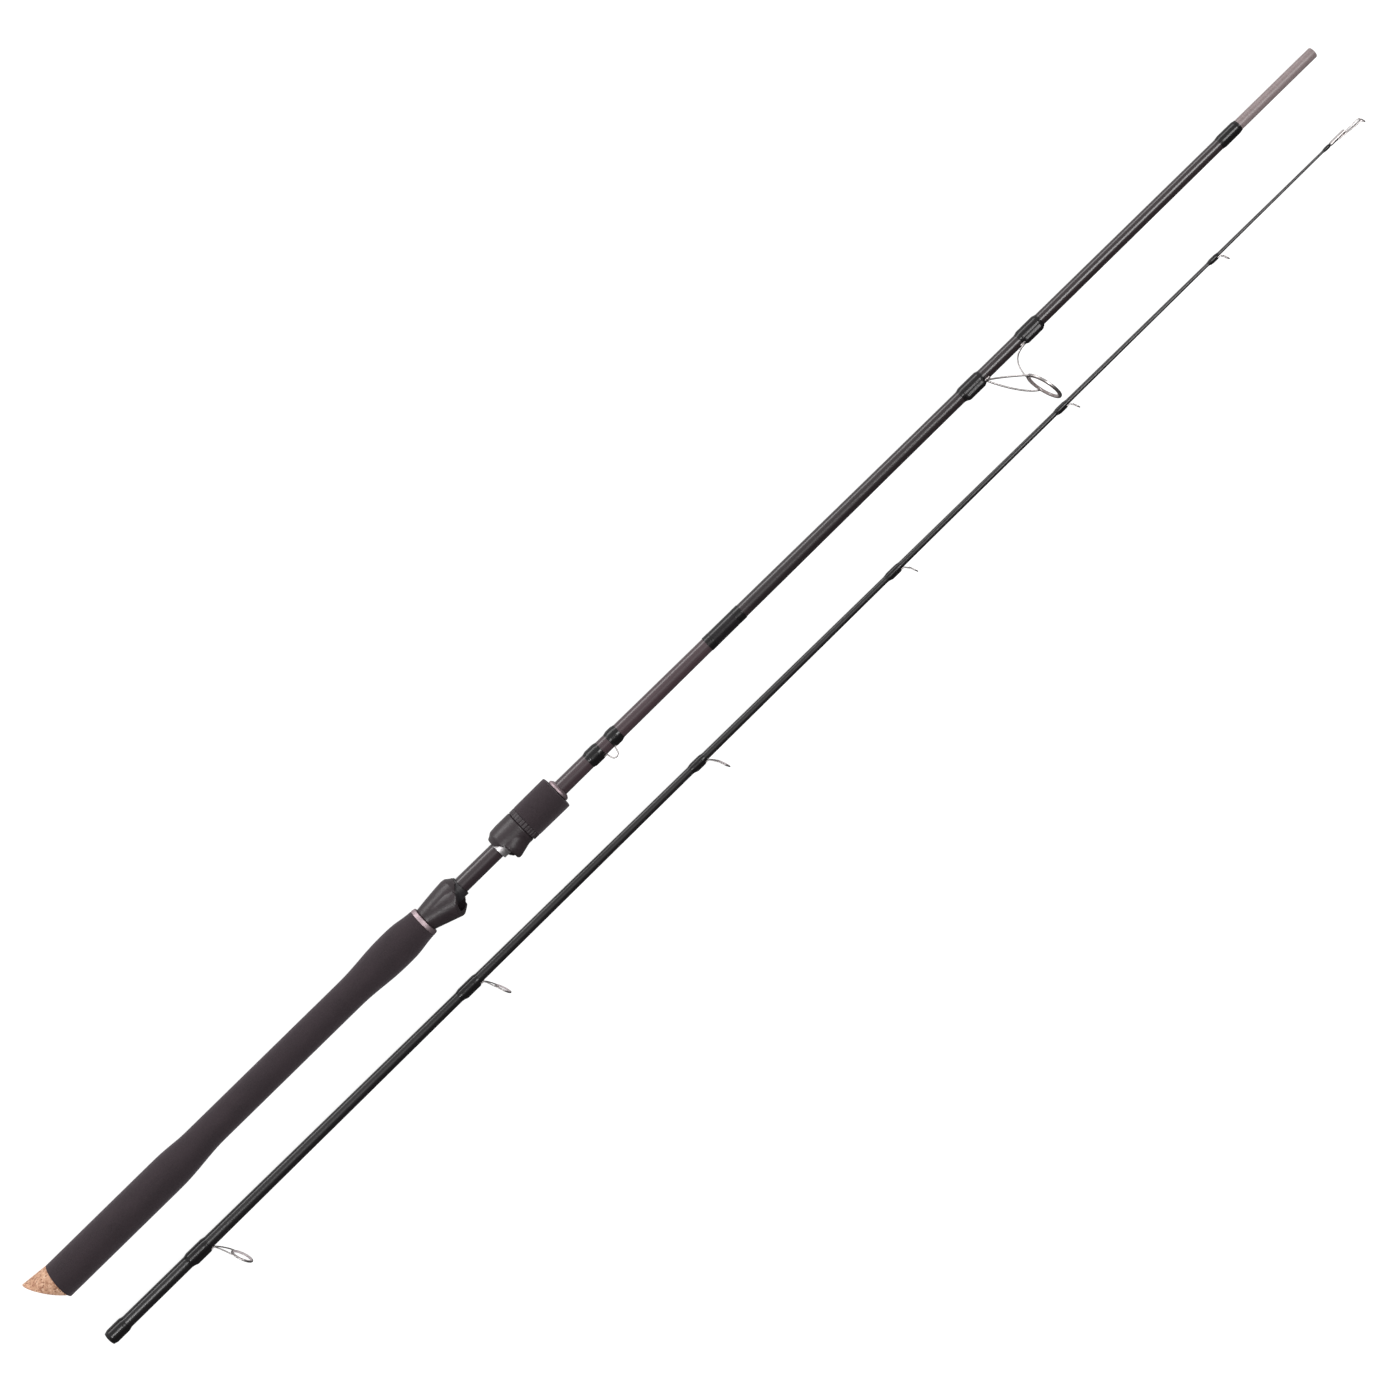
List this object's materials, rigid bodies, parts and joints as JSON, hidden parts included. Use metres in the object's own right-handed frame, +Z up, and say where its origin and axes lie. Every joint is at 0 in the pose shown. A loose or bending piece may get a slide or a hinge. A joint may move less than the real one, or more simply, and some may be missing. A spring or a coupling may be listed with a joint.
{
  "type": "spinning rod",
  "caption": "Spinning rod taken apart: butt section with foam grip, hooded reel seat and ring guide, beside a tip section with ring guides and a tip-top.",
  "frame": {"origin": "centre of the footprint of the two sections as they lie side by side, on the surface they lie on", "axes": "+X along the rod from the butt cap towards the tips, +Y away from the line guides, +Z up"},
  "size_m": [1.2422, 0.1012, 0.0467],
  "materials": {
    "cork": "matt, speckled",
    "eva_foam": "matt closed-cell foam",
    "trim_metal": "satin",
    "blank": "clear-coated",
    "ground_ferrule": "ground, uncoated",
    "seat_plastic": "satin",
    "saddle_steel": "satin",
    "barrel_plastic": "moulded",
    "nut": "satin, ribbed",
    "guide_steel": "polished",
    "ceramic": "polished ceramic",
    "thread_wrap": "varnished thread",
    "label": "varnished, blank"
  },
  "bodies": {
    "butt_section": {"butt_cap": "cork", "rear_grip": "eva_foam", "rear_trim_ring": "trim_metal", "butt_blank": "blank", "male_ferrule": "ground_ferrule", "ferrule_wrap": "thread_wrap", "rear_hood": "seat_plastic", "rear_hood_saddle": "barrel_plastic", "seat_barrel": "barrel_plastic", "winding_check": "trim_metal", "keeper_loop": "guide_steel", "keeper_wrap_rear": "thread_wrap", "keeper_wrap_front": "thread_wrap", "label_trim_rear": "thread_wrap", "label_panel": "label", "label_trim_front": "thread_wrap", "stripper_frame": "guide_steel", "stripper_ring": "ceramic", "stripper_wrap_rear": "thread_wrap", "stripper_wrap_front": "thread_wrap"},
    "hood_carriage": {"moving_hood": "seat_plastic", "moving_hood_saddle": "saddle_steel"},
    "lock_ring": {"lock_nut": "nut", "foregrip": "eva_foam"},
    "tip_section": {"tip_blank": "blank", "socket_wrap": "thread_wrap", "tip_top_frame": "guide_steel", "tip_top_ring": "ceramic", "tip_top_wrap": "thread_wrap", "guide_2_frame": "guide_steel", "guide_2_ring": "ceramic", "guide_2_wrap": "thread_wrap", "guide_3_frame": "guide_steel", "guide_3_ring": "ceramic", "guide_3_wrap": "thread_wrap", "guide_4_frame": "guide_steel", "guide_4_ring": "ceramic", "guide_4_wrap": "thread_wrap", "guide_5_frame": "guide_steel", "guide_5_ring": "ceramic", "guide_5_wrap": "thread_wrap", "guide_6_frame": "guide_steel", "guide_6_ring": "ceramic", "guide_6_wrap": "thread_wrap", "guide_7_frame": "guide_steel", "guide_7_ring": "ceramic", "guide_7_wrap": "thread_wrap"}
  },
  "joints": [
    {"name": "hood_slide", "type": "slide", "parent": "butt_section", "child": "hood_carriage", "axis": [-1, 0, 0], "range_m": [0, 0.014]},
    {"name": "lock_spin", "type": "hinge", "parent": "hood_carriage", "child": "lock_ring", "pos_m": [-0.13192, 0.03549, 0.01393], "axis": [-1, 0, 0], "range_deg": [0, 2520]},
    {"name": "tip_draw", "type": "slide", "parent": "butt_section", "child": "tip_section", "axis": [1, 0, 0], "range_m": [0, 0.4]}
  ],
  "couplings": [
    {"joint": "hood_slide", "follows": "lock_spin", "m_per_rad": 0.0003183}
  ]
}
